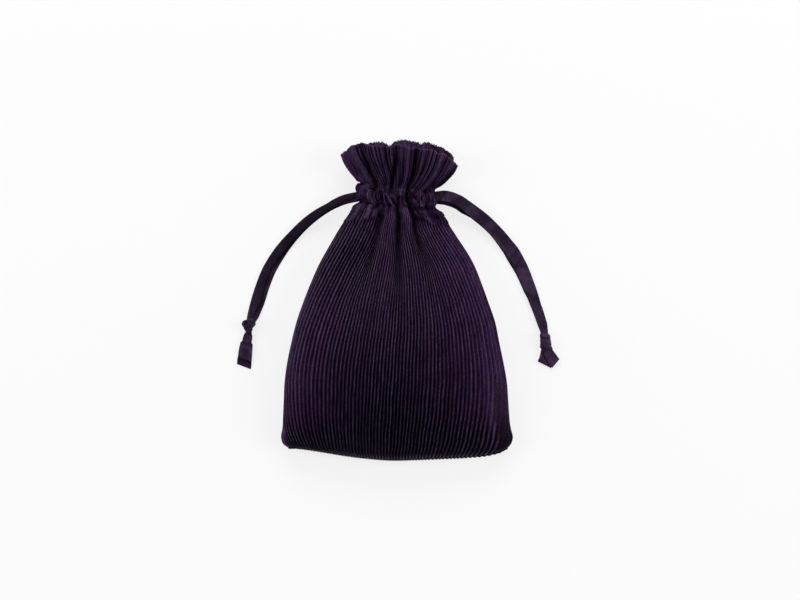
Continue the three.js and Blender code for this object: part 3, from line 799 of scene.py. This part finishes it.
def ribbon_piece(name, path, side, node, table, creases=(), slit=None, thickness=RIBBON_THICKNESS, lead=0):
    """A ribbon along a path, from a table by share of its length: width, roll in degrees, cup, tone and inner.

    Each crease is (share, slant, depth): a shallow fold that crosses the ribbon at a slant, with painted shade in it
    and a painted highlight beside it. A slit is a table of the place and depth of a fold that runs along the ribbon,
    drawn only as painted shade in it and a painted highlight on its outer side."""
    t = np.linspace(0, 1, len(path))[:, None]
    read = {key: look_up(table, t, key) for key in table}
    roll = np.radians(read.get("roll", 0))
    profile = flat_loop(read["width"], thickness)
    bend = profile[..., 0] / (read["width"] / 2)
    profile[..., 1] += read["cup"] * (bend ** 2 - 0.4)
    run = np.linalg.norm(np.diff(path, axis=0), axis=1).sum()
    # The tone is painted light and shade, slanting along facets, and inner is a painted highlight on the edge towards
    # the bag.
    tone = look_up(table, t + FACET_SLANT * bend / run, "tone") + read.get("inner", 0) * ramp(0.45, 0.95, bend)
    if slit:
        at, depth = look_up(slit, t, "at", "depth")
        tone = tone - depth * bell(bend, at, 0.25) + depth * ramp(at - 0.1, at - 0.5, bend)
    for share, slant, depth in creases:
        away = (t - share) * run - slant * bend
        profile[..., 1] -= depth * bell(away, 0, 1.1)
        tone = tone * (1 - 0.9 * depth * bell(away, 0.6, 0.9)) + 0.35 * depth * bell(away, -1.6, 1.0)
    points = carried(path, side * np.cos(roll) + UP * np.sin(roll), profile, lead=lead)
    # The outline goes round so that the faces of a right-hand strand and of a left-hand one both point outwards.
    turned = np.sum(np.cross(points[1, 0] - points[0, 0], points[0, 1] - points[0, 0]) * (points[0, 0] - path[0])) < 0
    return grid_piece(name, points, node, {"tone": tone}, tube=True, flip=turned), run


def sideways(path):
    """Level directions across a path."""
    return unit(np.cross(unit(np.gradient(path, axis=0)), UP))


# %% [markdown]
# Each drawstring leaves the casing by a slit in the side fold as two strands, which lie on each other and run in a
# loose arc to a knot, along the route of their solid. A strand's table also gives its shift towards the bag, and
# inner, a painted highlight that makes its edge towards the bag lighter.

# %% Strands
ROUTES = {
    "left": np.array([
        (-30.6, 82.4, 11.8), (-41.2, 80.6, 10.0), (-50.8, 77.2, 8.2), (-59.6, 72.8, 6.0), (-68.4, 67.2, 4.0),
        (-76.4, 60.4, 2.4), (-84.4, 52.0, 1.2), (-91.6, 42.8, 0.4), (-98.0, 32.8, 0), (-103.6, 21.6, 0),
        (-108.0, 10.4, 0), (-111.6, -0.8, 0), (-114.4, -9.2, 0.6), (-116.4, -15.2, 1.8), (-117.6, -19.0, 2.4),
    ]),
    "right": np.array([
        (30.4, 82.0, 11.8), (42.0, 81.6, 10.0), (49.2, 79.0, 8.6), (56.4, 74.2, 6.6), (63.2, 68.8, 4.8),
        (71.6, 62.0, 2.8), (79.6, 54.2, 1.4), (86.0, 46.6, 0.5), (92.0, 38.4, 0), (96.4, 30.6, 0),
        (100.8, 22.4, 0), (104.2, 14.4, 0), (107.4, 6.4, 0), (110.4, -1.6, 0), (113.2, -9.6, 0),
        (115.8, -18.4, 0.4), (118.5, -27.6, 1.4),
    ]),
}
# How far a strand lies above its route, and how far it is cupped, in millimetres.
LAYERS = {"lower": (0.8, 0.2), "upper": (2.0, 0.3)}


def strand(side, height, table, **folds):
    """One strand of a drawstring: its route, lifted, and shifted towards the bag as its table says."""
    lift, cup = LAYERS[height]
    path = resampled(ROUTES[side], STRAND_ROWS)
    inward = -sideways(path) if side == "left" else sideways(path)
    path = path + inward * look_up(table, np.linspace(0, 1, STRAND_ROWS), "shift")[:, None]
    path[:, 2] += lift
    table = {**table, "cup": np.full_like(table["share"], cup)}
    piece, run = ribbon_piece(f"ribbon_{side}_{height}", path, inward, f"drawstring_{side}", table, **folds)
    return piece, path * MM, run * MM


STRAND_COLUMNS = "share shift width roll tone inner"
strands = {
    "ribbon_left_lower": strand(
        "left", "lower", read_table(STRAND_COLUMNS, [
            (0, 0.9, 5.6, -8, 1, -0.2), (0.1, 1.3, 6, -14, 0.9, -0.3), (0.15, 1.3, 6.2, 0, 0.15, 0),
            (0.3, 2.1, 7, 0, 0.15, 0), (0.45, 2.3, 7.2, 0, 0.15, 0), (0.58, 2.4, 7.2, -4, 0.15, 0),
            (0.62, 2.3, 7.2, -4, 0.4, 0.1), (0.68, 2, 7.2, -6, 0.8, 0.2), (0.73, 2.1, 7.2, -6, 0.6, 0.1),
            (0.78, 2.2, 7.2, -6, 1.1, 0.4), (0.83, 2.3, 7.2, -6, 0.8, 0.2), (0.87, 2.3, 7.2, -6, 0.4, 0),
            (0.91, 2.2, 6.6, 0, 0.6, 0), (0.95, 2.1, 6, 0, 0.75, 0), (1, 0.8, 4.6, 0, 0.7, 0),
        ]),
    ),
    "ribbon_left_upper": strand(
        "left", "upper", read_table(STRAND_COLUMNS, [
            (0, -2, 4.6, 6, 0.34, 0), (0.1, -1.2, 5, 10, 0.26, 0.1), (0.18, 0.9, 6.4, 4, 0.26, -0.1),
            (0.3, 1.3, 7.6, 0, 0.24, -0.1), (0.38, 1.2, 7.9, 0, 0.3, -0.2), (0.45, 0.9, 7.9, 0, 0.24, -0.1),
            (0.55, -0.4, 7.6, 0, 0.34, -0.2), (0.68, -1.8, 7, 0, 0.4, -0.3), (0.72, -1.7, 7.4, 0, 0.38, -0.3),
            (0.78, -1.2, 8.3, 0, 0.4, -0.3), (0.85, -1.2, 8.4, 4, 0.5, -0.4), (0.9, -1.5, 7.2, 6, 0.75, -0.5),
            (0.95, -1.7, 5.5, 8, 0.6, -0.5), (1, -0.8, 4.4, 0, 0.6, -0.3),
        ]),
        creases=[(0.15, 1.5, 0.5), (0.36, -2.0, 0.2), (0.62, 2.4, 0.2), (0.86, 3.0, 0.35)],
        slit=read_table("share at depth", [
            (0.86, -0.9, 0), (0.9, -0.6, 0.45), (0.95, 0, 0.5), (0.98, 0.2, 0.5), (1, 0.2, 0.5),
        ]),
    ),
    "ribbon_right_lower": strand(
        "right", "lower", read_table("share shift width tone", [
            (0, 1.6, 7, 0.1), (0.08, 2.6, 7.6, 0.06), (0.18, 2.5, 7.8, 0.08), (0.24, 0.8, 7.8, 0.4),
            (0.38, 0.6, 8, 0.75), (0.47, 1, 8.4, 0.8), (0.55, 1.4, 8.8, 1), (0.62, 1, 8.6, 0.9), (0.75, 0.7, 8, 0.7),
            (0.86, -1.2, 7.4, 0.3), (0.95, -2, 5.8, 0.25), (1, -1, 4.8, 0.3),
        ]),
    ),
    "ribbon_right_upper": strand(
        "right", "upper", read_table(STRAND_COLUMNS, [
            (0, -1, 7.4, 0, 0.5, 0), (0.045, -1.2, 8.6, 0, 0.6, 0), (0.06, -1.1, 8.8, -8, 1.5, 0),
            (0.1, -1, 8.8, -8, 1.3, -0.2), (0.12, -0.9, 8.8, -4, 0.66, -0.2), (0.18, -0.7, 9.2, 0, 0.66, 0),
            (0.21, -0.7, 9.6, 0, 1.1, 0.3), (0.26, -0.9, 10, 0, 0.66, 0), (0.31, -0.8, 10.2, 0, 0.5, 0),
            (0.33, -0.7, 10.2, 0, 1.1, 0.3), (0.38, -0.6, 10.2, 0, 0.64, 0.5), (0.48, -0.8, 10.4, 0, 0.72, 0.7),
            (0.53, -1.2, 10.8, 0, 0.85, 0.4), (0.57, -1.3, 10.8, 0, 0.68, 0.1), (0.62, -1.2, 10.6, -4, 0.9, 0),
            (0.645, -1, 10.4, -4, 1.3, 0), (0.76, -0.7, 9.8, -4, 1.2, -0.2), (0.785, -0.7, 9.4, 0, 0.75, 0),
            (0.83, -0.5, 8.8, 0, 0.8, 0.2), (0.86, -0.4, 8.2, 0, 1, 0.2), (0.93, -0.4, 7, 0, 0.78, 0.2),
            (1, -0.5, 5.4, 0, 0.7, 0),
        ]),
        creases=[
            (0.05, 0.8, 0.4), (0.295, -3, 0.55), (0.315, -2.4, 0.4), (0.54, 2, 0.5), (0.59, 3.4, 0.45),
            (0.785, -2, 0.35),
        ],
    ),
}
print("strand lengths, mm:", {name: round(run * 1000, 1) for name, (_, _, run) in strands.items()})

# %% [markdown]
# Inside the casing each ribbon runs round the neck. It is hidden there, so it is one plain band between the
# casing's two layers.

# %% Hidden loops
LOOP_WIDTH, LOOP_INSET, LOOP_TONE = 6.0, 2.6, 0.7
LOOP_Y = {"left": 85.6, "right": 78.8}
loops = {}
for side, y in LOOP_Y.items():
    rings = []
    for face in faces:
        points, normal, _ = cloth(face, Pleats(1, faces[face].seed), np.array([y - 0.5, y, y + 0.5]), plain=True)
        rings.append((points - normal * LOOP_INSET)[1, 4:-4])
    ring = np.vstack([rings[0], rings[1][::-1]])
    profile = np.broadcast_to(flat_loop(LOOP_WIDTH, RIBBON_THICKNESS), (len(ring), PROFILE_STEPS, 2))
    points = carried(ring, np.broadcast_to([0, 1.0, 0], ring.shape), profile, closed=True)
    tone = {"tone": LOOP_TONE}
    loops[side] = grid_piece(f"loop_{side}", points, f"drawstring_{side}", tone, ring=True, flip=True)

# %% [markdown]
# ## The knots
# The left drawstring ends in a small overhand knot, and its two ends hang below it as flaps. The right one is
# wound round in a band, and its ends spread like a fan.

# %% Knot helpers
KNOT_TURN = np.linspace(0, 2 * np.pi, 150, endpoint=False)
KNOT_HOLE, HOLE_RADIUS, KNOT_GAP = np.array([-120.7, -18.1]), 1.6, 0.1
WRAP_ROWS, WRAP_STEPS, WRAP_SQUARE, CREASE_WIDTH = 60, 48, 0.8, 0.5


def hole_shade(points):
    """The share of its tone that a knot keeps: little in the small hole where the left one's loop closes, which is
    painted in shade.
    """
    away = np.linalg.norm(points[..., :2] - KNOT_HOLE, axis=-1)
    return 1 - ramp(HOLE_RADIUS + 0.5, HOLE_RADIUS - 0.5, away)


def overhand(name, node, centre, size, turn, width, thickness, tone):
    """A small overhand knot: a flat ribbon that follows a trefoil, turned about the vertical.

    The trefoil is x = sin t + 2 sin 2t, y = cos t - 2 cos 2t and z = -sin 3t, times the size."""
    t = KNOT_TURN + turn
    flat = np.stack([np.sin(t) + 2 * np.sin(2 * t), np.cos(t) - 2 * np.cos(2 * t), -np.sin(3 * t)], axis=1)
    path = np.array(centre) + flat * np.array(size)
    across = unit(np.stack([-np.sin(t) * 0.6, np.cos(t) * 0.2 + 0.3, 1.0 + 0 * t], axis=1))
    profile = np.broadcast_to(flat_loop(width, thickness), (len(t), PROFILE_STEPS, 2))
    points = carried(path, across, profile, closed=True)
    points[..., 2] = np.maximum(points[..., 2], KNOT_GAP)
    # Painted light and shade that rises and falls three times round the knot, and painted shade in its hole.
    tone = tone * (1 + 0.2 * np.sin(3 * t))[:, None] * hole_shade(points)
    return grid_piece(name, points, node, {"tone": tone}, ring=True, flip=True)


def wrap(name, node, table, turn, creases, tone):
    """A band wound round the strands: rounded sections along y, with shallow slanting creases where it overlaps."""
    y = np.linspace(table["y"][0], table["y"][-1], WRAP_ROWS)
    read = {key: smooth_through(table["y"][::-1], column[::-1], y)[:, None] for key, column in table.items()}
    angle = np.linspace(0, 2 * np.pi, WRAP_STEPS, endpoint=False)[None]
    x, z = np.cos(angle), np.sin(angle)
    side_shade = 1 - 0.6 * np.abs(x) ** 10
    dent = sum(depth * bell(y[:, None], at + slant * x, CREASE_WIDTH) for at, slant, depth in creases)
    x = read["x"] + (read["half"] - dent) * np.sign(x) * np.abs(x) ** WRAP_SQUARE
    z = read["z"] + (read["high"] - dent) * np.sign(z) * np.abs(z) ** WRAP_SQUARE
    y = y[:, None] - turn * (x - read["x"])
    points = np.stack(np.broadcast_arrays(x, y, z), axis=-1)
    # Painted shade on the band's sides, in its creases and in the knot's hole.
    tone = tone * side_shade * (1 - 0.5 * dent) * hole_shade(points)
    return grid_piece(name, points, node, {"tone": tone}, tube=True, flip=True)


def tail(name, node, route, slant, table, **folds):
    """A free end of the ribbon, whose cut end is turned by slant degrees."""
    path = resampled(np.array(route, float), TAIL_ROWS)
    lead = math.tan(math.radians(slant)) * ramp(0.3, 1, np.linspace(0, 1, TAIL_ROWS))[:, None, None]
    return ribbon_piece(name, path, sideways(path), node, table, thickness=TAIL_THICKNESS, lead=lead, **folds)[0]


# %% The two knots
TAIL_COLUMNS = "share width roll cup tone"
knots = {
    "left": [
        overhand("knot_left_loop", "knot_left", (-118.7, -20.2, 4.6), (1.45, 1.4, 1.2), 0.5, 3.6, 2.6, 1.0),
        wrap(
            "knot_left_wrap", "knot_left",
            read_table("y x half z high", [
                (-14.6, -117, 2, 4, 1.6), (-16.4, -118, 3.6, 4.2, 2.8), (-19, -118.8, 4.4, 4.4, 3.6),
                (-21.6, -118.9, 4.3, 4.4, 3.6), (-24, -118.6, 3.2, 4, 2.8), (-25.6, -118.6, 2.5, 3.6, 1.8),
                (-27.4, -118.8, 2.7, 3.2, 1.4),
            ]),
            -0.1, [(-18.2, 0.8, 0.4), (-22.4, -0.6, 0.5)], 1.0,
        ),
        tail(
            "tail_left_upper", "knot_left",
            [(-118.4, -23.5, 3.4), (-119.2, -29, 3.4), (-120.2, -34, 3), (-121.2, -41, 2.6), (-121.9, -48, 2.2)], -8,
            read_table(TAIL_COLUMNS, [
                (0, 4.4, 0, 0.3, 0.7), (0.1, 5, 0, 0.3, 0.85), (0.2, 7, 0, 0.3, 1.2), (0.3, 7.6, 0, 0.3, 1),
                (0.42, 7.8, 0, 0.2, 1.2), (0.46, 10, 0, 0.2, 0.8), (0.6, 10.8, 0, 0.2, 1.3),
                (0.75, 11.2, 0, 0.2, 0.9), (0.95, 11.4, 0, 0.2, 1.2), (1, 11.4, 0, 0.2, 0.6),
            ]),
            creases=[(0.46, 1.0, 0.5)],
            slit=read_table("share at depth", [
                (0.5, -0.3, 0), (0.6, -0.3, 0.4), (0.8, -0.2, 0.55), (0.92, -0.2, 0.1), (1, -0.2, 0),
            ]),
        ),
        tail(
            "tail_left_lower", "knot_left",
            [(-118.6, -24, 1.8), (-119.6, -32, 1.4), (-121.4, -42, 0.9), (-122.6, -53.6, 0.7)], -15,
            read_table(TAIL_COLUMNS, [
                (0, 3.6, 0, 0.2, 0.6), (0.3, 6, 0, 0.2, 0.7), (0.5, 9.6, 0, 0.2, 0.7), (0.8, 11.4, 0, 0.2, 0.3),
                (0.86, 11.8, 0, 0.2, 0.6), (1, 11.6, 0, 0.2, 0.6),
            ]),
        ),
    ],
    "right": [
        wrap(
            "knot_right_wrap", "knot_right",
            read_table("y x half z high", [
                (-26.8, 119, 3.5, 3.4, 2.2), (-27.8, 119.1, 4, 3.8, 3.2), (-32, 119.5, 4.4, 3.9, 3.6),
                (-36.5, 119.9, 4.7, 3.8, 3.4), (-39, 120.2, 4.9, 3.4, 2.8), (-40.2, 120.2, 3.6, 3.2, 1.8),
            ]),
            0.12, [(-31.0, 0.5, 0.25), (-35.4, -0.8, 0.3)], 1.05,
        ),
        tail(
            "tail_right_lower", "knot_right",
            [(119.8, -37, 2.0), (119.7, -41, 1.9), (119.5, -46, 1.3), (119.0, -52.2, 0.9)], -22,
            read_table(TAIL_COLUMNS, [
                (0, 6.4, 0, 0.2, 1.3), (0.3, 8, 6, 0.2, 1.8), (0.7, 9.6, 4, 0.2, 1.5), (0.92, 11.2, 0, 0.2, 1.4),
                (1, 11.4, 0, 0.2, 0.5),
            ]),
            creases=[(0.6, 4.0, 0.2)],
        ),
        tail(
            "tail_right_upper", "knot_right",
            [(120.6, -37, 3.4), (121.8, -41.4, 3.2), (124.5, -46.2, 2.7), (128.0, -51.0, 2.2)], 14,
            read_table(TAIL_COLUMNS, [
                (0, 5.6, 0, 0.3, 1.1), (0.3, 8, -4, 0.3, 1.35), (0.6, 8.8, -4, 0.3, 1.1), (0.9, 9, -2, 0.2, 1.35),
                (1, 9, 0, 0.2, 0.9),
            ]),
            creases=[(0.45, 2.0, 0.2)],
        ),
    ],
}

# %% [markdown]
# ## Shading by arithmetic
# A material is a sum of a few values, so a small class lets them be written as ordinary arithmetic. Each value
# wraps one output socket, and node() adds any other kind of node.

# %% Shader values
class Value:
    """One output of a material's nodes, which can be added to, subtracted from and multiplied."""

    def __init__(self, tree, socket):
        self.tree, self.socket = tree, socket

    def node(self, kind, settings=None, inputs=None, output=0):
        """A new node of some kind, with its settings, its inputs as values or constants, and one of its outputs."""
        made = self.tree.nodes.new(kind)
        for key, setting in (settings or {}).items():
            setattr(made, key, setting)
        for key, value in (inputs or {}).items():
            if isinstance(value, Value):
                self.tree.links.new(value.socket, made.inputs[key])
            else:
                made.inputs[key].default_value = value
        return Value(self.tree, made.outputs[output])

    def math(self, operation, first, second):
        return self.node("ShaderNodeMath", {"operation": operation}, {0: first, 1: second})

    def __add__(self, other):
        return self.math("ADD", self, other)

    def __sub__(self, other):
        return self.math("SUBTRACT", self, other)

    def __mul__(self, other):
        return self.math("MULTIPLY", self, other)

    __rmul__ = __mul__

    def mix(self, low, high):
        """A colour that goes from low to high as this value goes from 0 to 1."""
        low, high = ((*colour, 1) if isinstance(colour, tuple) else colour for colour in (low, high))
        return self.node("ShaderNodeMix", {"data_type": "RGBA"}, {0: self, 6: low, 7: high}, output=2)


def new_material(name):
    """An empty material, its shader and a starting value for its arithmetic."""
    material = bpy.data.materials.new(name)
    material.use_nodes = True
    shader = material.node_tree.nodes["Principled BSDF"]
    return material, shader, Value(material.node_tree, None)


def plug(value, shader, name):
    value.tree.links.new(value.socket, shader.inputs[name])


def satin(name, roughness, specular, tint):
    """A satin whose weave is a fine bump: its material and shader, and two functions for its arithmetic.

    stored reads a value per point, and clouds makes smooth noise of one scale, or of three along x, y and z."""
    material, shader, start = new_material(name)
    place = start.node("ShaderNodeTexCoord", output="Object")

    def stored(key):
        return start.node("ShaderNodeAttribute", {"attribute_name": key}, output="Fac")

    def clouds(scale, detail):
        vector = place
        if isinstance(scale, tuple):
            vector, scale = start.node("ShaderNodeMapping", inputs={"Vector": place, "Scale": scale}), 1.0
        inputs = {"Vector": vector, "Scale": scale, "Detail": detail}
        return start.node("ShaderNodeTexNoise", inputs=inputs, output="Fac")

    weave = {"Height": clouds(2600.0, 2.0), "Strength": 0.12, "Distance": 0.0003}
    plug(start.node("ShaderNodeBump", inputs=weave, output="Normal"), shader, "Normal")
    shader.inputs["Roughness"].default_value = roughness
    shader.inputs["Specular IOR Level"].default_value = specular
    shader.inputs["Specular Tint"].default_value = tint
    return material, shader, stored, clouds


# %% [markdown]
# ## Satin
# The satin is a very dark purple, and the valleys are painted near black as shade. On a crest the cloth bends sharply
# and its threads would catch the light, so the crests get thin pale lines of painted highlight. A fine noise that is
# long along the bag and a shorter grain break these lines up. The ruffle's cut edge and the smooth corner get a
# pinker painted highlight, and the ticks along the seam are the palest painted highlights. The ribbon goes from
# painted shade to painted highlight with its tone.

# %% Materials
# The valley colour is painted shade, and the panel colours are the satin's own, cool or warm at random. The line
# colour is a painted highlight on the crests, the pink one a painted highlight on the rim and the corner, and the
# tick colour a painted highlight on the seam's ticks and the pressed marks.
VALLEY, PANEL, PANEL_COOL = (0.0034, 0.0003, 0.0056), (0.046, 0.016, 0.056), (0.034, 0.016, 0.060)
LINE, RIM_HIGHLIGHT, TICK = (0.072, 0.058, 0.087), (0.095, 0.044, 0.108), (0.15, 0.105, 0.16)
PANEL_SHARE = 0.60
STREAKS, GRAIN = (420, 60, 300), (620, 620, 500)

cloth_satin, shader, stored, clouds = satin("pleated_satin", 0.5, 0.01, (0.85, 0.7, 1.0, 1))
panel, line, edge, tick = (stored(key) for key in ("panel", "line", "edge", "tick"))
streaks, grain, patches = clouds(STREAKS, 3.0), clouds(GRAIN, 2.0), clouds(110.0, 1.0)
panel_colour = (2.2 * patches - 0.6).mix(PANEL_COOL, PANEL)
panel = PANEL_SHARE * panel * (1.8 * streaks + 0.1) * (2.0 * grain)
line = line * (2.6 * streaks - 0.3) * (2.4 * grain - 0.2)
cloth_colour = line.mix(panel.mix(VALLEY, panel_colour), LINE)
plug(tick.mix(edge.mix(cloth_colour, RIM_HIGHLIGHT), TICK), shader, "Base Color")
for piece in satin_pieces:
    piece.data.materials.append(cloth_satin)

# The ribbon's dark, middle and light colours are painted shade, its own colour and a painted highlight, chosen by its
# tone.
RIBBON_DARK, RIBBON_MIDDLE = (0.0042, 0.0029, 0.0054), (0.021, 0.0128, 0.0275)
RIBBON_LIGHT = (0.080, 0.045, 0.104)
ribbon_satin, shader, stored, clouds = satin("ribbon_satin", 0.42, 0.05, (0.85, 0.72, 1.0, 1))
tone = stored("tone") * (1.5 * clouds(190.0, 3.0) + 0.5 * clouds(90.0, 1.0))
dark = (2.0 * tone).mix(RIBBON_DARK, RIBBON_MIDDLE)
plug((0.73 * tone - 0.46).mix(dark, RIBBON_LIGHT), shader, "Base Color")
for piece in [entry[0] for entry in strands.values()] + list(loops.values()) + knots["left"] + knots["right"]:
    piece.data.materials.append(ribbon_satin)

# %% [markdown]
# ## The surface and the light
# The bag lies on white paper that is lit from below as well, as on a light table, so its shadow is faint. Three
# large soft lights stand low round it, one beyond the mouth and one on each side, so the flanks and the neck are
# lighter than the middle, and the painted sheen on the cloth makes them lighter still.

# %% Surface and light
PAPER_SIZE, PAPER_GREY, PAPER_GLOW, ROOM_GLOW = 8, 0.21, 0.77, 0.12
AIM = Vector((0, 0, 0.02))
bpy.ops.mesh.primitive_plane_add(size=PAPER_SIZE)
floor = bpy.context.object
floor.name = "floor"
paper, shader, _ = new_material("white_paper")
shader.inputs["Base Color"].default_value = (PAPER_GREY, PAPER_GREY, PAPER_GREY, 1)
shader.inputs["Roughness"].default_value = 0.9
shader.inputs["Specular IOR Level"].default_value = 0.0
shader.inputs["Emission Color"].default_value = (1, 1, 1, 1)
shader.inputs["Emission Strength"].default_value = PAPER_GLOW
floor.data.materials.append(paper)

world = bpy.data.worlds.new("studio")
bpy.context.scene.world = world
world.use_nodes = True
room = world.node_tree.nodes["Background"]
room.inputs["Color"].default_value = (1, 1, 1, 1)
room.inputs["Strength"].default_value = ROOM_GLOW
bpy.context.scene.view_settings.view_transform = "Standard"


def soft_light(name, place, size, power):
    """A rectangular area light that faces the bag."""
    data = bpy.data.lights.new(name, "AREA")
    data.shape = "RECTANGLE"
    data.size, data.size_y = size
    data.energy = power
    light = bpy.data.objects.new(name, data)
    light.location = place
    light.rotation_euler = (AIM - Vector(place)).to_track_quat("-Z", "Y").to_euler()
    bpy.context.scene.collection.objects.link(light)


for name, place, size, power in (
    ("mouth_softbox", (0, 2.4, 1.4), (2.8, 1.2), 62),
    ("left_softbox", (-2.4, 0.2, 1.2), (1.2, 2.4), 42),
    ("right_softbox", (2.4, 0.2, 1.2), (1.2, 2.4), 52),
):
    soft_light(name, place, size, power)

# %% [markdown]
# ## How large
# The flat sizes that the body's sheets were cut to are printed.

# %% Sizes
for name, (piece, path, run) in strands.items():
    side, height = name.split("_")[1:]
    tuple(path[0])
    path[::4].tolist() + [path[-1].tolist()]
    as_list(knots[side] if height == "upper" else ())
for name, (piece, size) in sheets.items():
    joined = [bottom_seam] if name == "pouch_front" else ()
    under = ["floor"] if name == "pouch_back" else ()
print("flat sheets, mm:", {name: [round(run / MM) for run in size[:2]] for name, (_, size) in sheets.items()})
